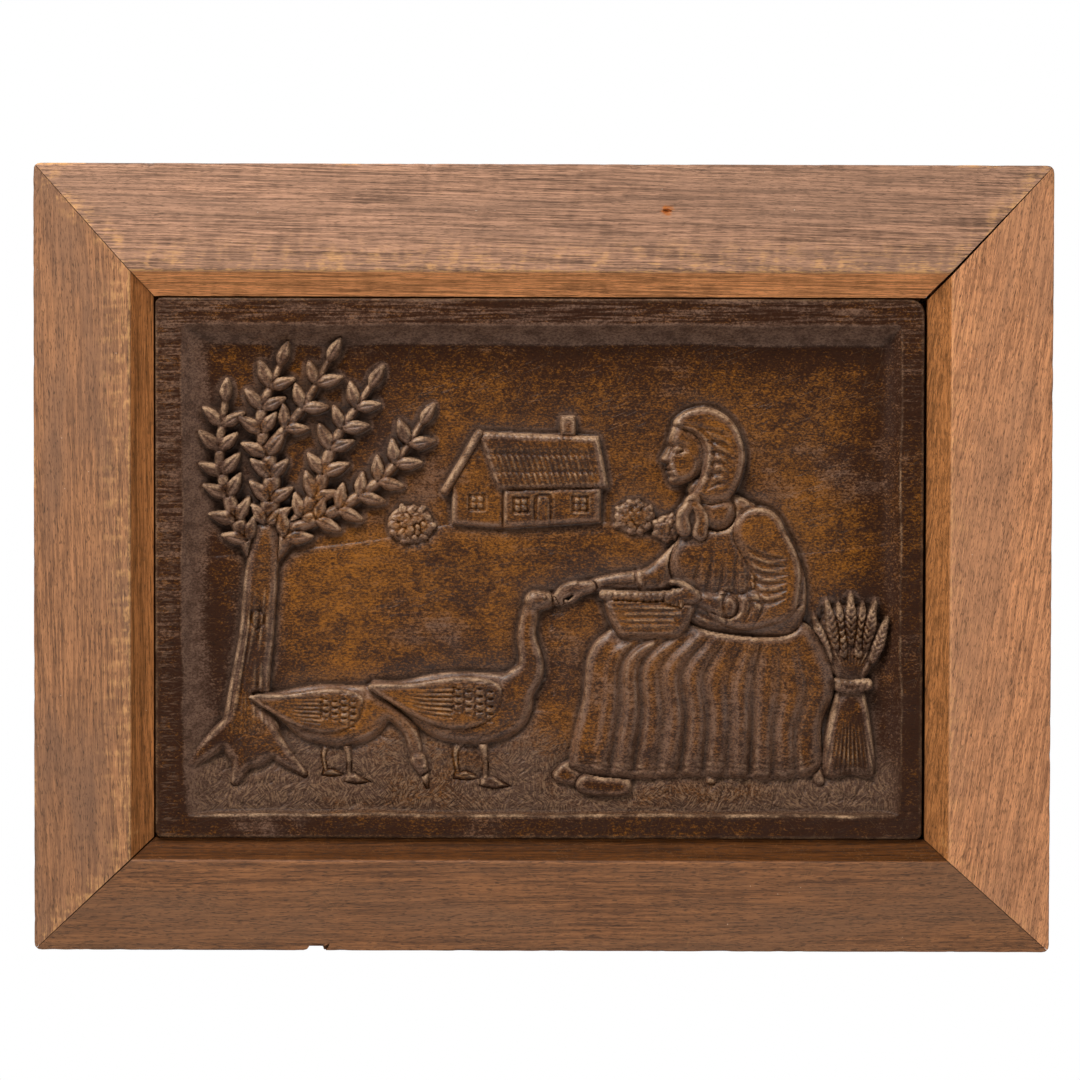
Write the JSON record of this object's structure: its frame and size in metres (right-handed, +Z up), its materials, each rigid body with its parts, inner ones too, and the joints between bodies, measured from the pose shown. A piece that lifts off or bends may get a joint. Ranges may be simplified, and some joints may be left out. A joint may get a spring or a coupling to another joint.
{
  "type": "relief panel",
  "caption": "Carved wooden relief board with a sunken rural scene, set in a wide mitred hardwood frame with a cove round the opening.",
  "frame": {"origin": "middle of the top rail's flat back, where the panel hangs on the wall", "axes": "+X along the width, to the right as seen from the front; +Y into the wall, so the carved face looks along -Y; +Z up"},
  "size_m": [0.3932, 0.028, 0.3043],
  "materials": {
    "frame_wood": "satin, worn oil finish on an open-pored reddish-brown hardwood",
    "carved_wood": "dark stained and waxed, worn lighter on the raised forms"
  },
  "bodies": {
    "root": {"rail_top": "frame_wood", "rail_bottom": "frame_wood", "rail_left": "frame_wood", "rail_right": "frame_wood", "relief_panel": "carved_wood"}
  },
  "joints": []
}
